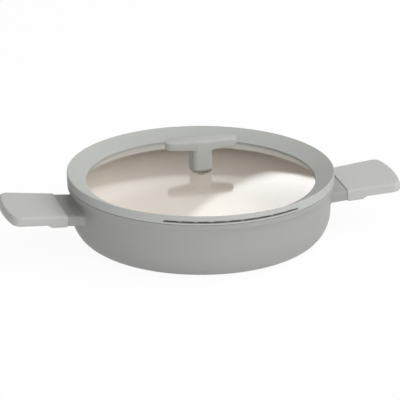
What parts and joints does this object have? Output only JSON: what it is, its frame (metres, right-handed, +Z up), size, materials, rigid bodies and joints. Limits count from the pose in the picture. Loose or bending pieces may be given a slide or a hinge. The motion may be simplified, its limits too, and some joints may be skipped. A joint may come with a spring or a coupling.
{
  "type": "saute pan with lid",
  "caption": "Low round pan with two side grips and a domed glass lid, which has a soft sloping rim with pouring slots and a T-shaped knob.",
  "frame": {"origin": "centre of the base's underside, on the table", "axes": "+Z up; X along the two handles; the lid's pouring slots face -Y and +Y"},
  "size_m": [0.4416, 0.2904, 0.1109],
  "materials": {
    "body_coating": "matte grey coating on cast aluminium",
    "base_steel": "turned",
    "grip": "soft matte",
    "screw_steel": "plain",
    "glass": "clear tempered",
    "silicone": "matte silicone",
    "knob": "soft matte",
    "foot_steel": "satin",
    "pad_rubber": "matte",
    "brass": "plain"
  },
  "bodies": {
    "pan": {"pan_body": "body_coating", "base_plate": "base_steel", "left_bracket": "body_coating", "right_bracket": "body_coating", "left_grip": "grip", "right_grip": "grip", "left_grip_screws": "screw_steel", "right_grip_screws": "screw_steel", "left_screw_washers": "screw_steel", "right_screw_washers": "screw_steel"},
    "lid": {"lid_glass": "glass", "lid_ring": "silicone", "lid_knob": "knob", "knob_foot_plate": "foot_steel", "knob_upper_pad": "pad_rubber", "knob_lower_pad": "pad_rubber", "knob_insert": "brass", "knob_washer": "foot_steel", "knob_screw": "screw_steel"}
  },
  "joints": [
    {"name": "lid_lift", "type": "slide", "parent": "pan", "child": "lid", "axis": [0, 0, 1], "range_m": [0, 0.12]}
  ]
}
